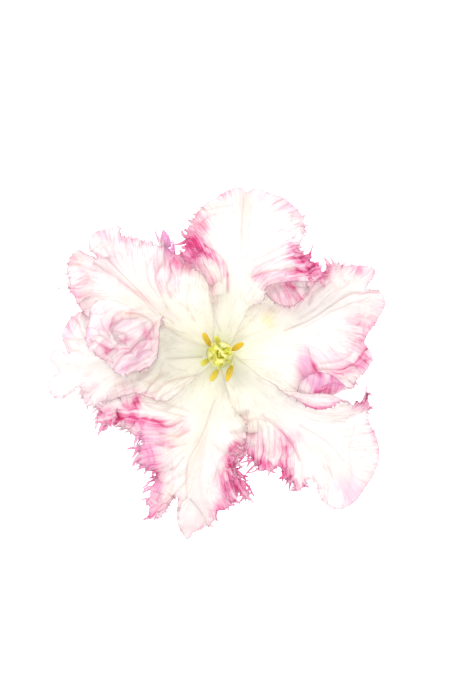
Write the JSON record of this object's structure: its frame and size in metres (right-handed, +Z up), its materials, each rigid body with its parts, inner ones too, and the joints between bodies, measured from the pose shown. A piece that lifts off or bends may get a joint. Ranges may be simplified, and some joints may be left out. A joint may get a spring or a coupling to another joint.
{
  "type": "parrot tulip bloom",
  "caption": "Fully open parrot tulip bloom, face up, with waved and fringed petals in two layers round a crested pistil and stamens.",
  "frame": {"origin": "middle of the bloom's footprint, on the surface that it lies on", "axes": "+Z up, out of the open face of the bloom; +Y towards the top of the picture, +X to its right"},
  "size_m": [0.144, 0.1504, 0.0324],
  "materials": {
    "petal": "thin soft petal, cream with pink margins and a yellow throat, faint silky sheen",
    "stalk": "smooth waxy pale green stalk",
    "ovary": "smooth waxy yellow green",
    "stigma": "velvety pale yellow crest",
    "filament": "smooth waxy pale yellow",
    "anther": "dusty golden brown pollen"
  },
  "bodies": {
    "root": {"inner_petal_north": "petal", "inner_petal_west": "petal", "inner_petal_southeast": "petal", "outer_petal_northwest": "petal", "outer_petal_south": "petal", "outer_petal_east": "petal", "stalk": "stalk", "ovary": "ovary", "stigma": "stigma", "filament_1": "filament", "filament_2": "filament", "filament_3": "filament", "filament_4": "filament", "filament_5": "filament", "filament_6": "filament", "anther_1": "anther", "anther_2": "anther", "anther_3": "anther", "anther_4": "anther", "anther_5": "anther", "anther_6": "anther"}
  },
  "joints": []
}
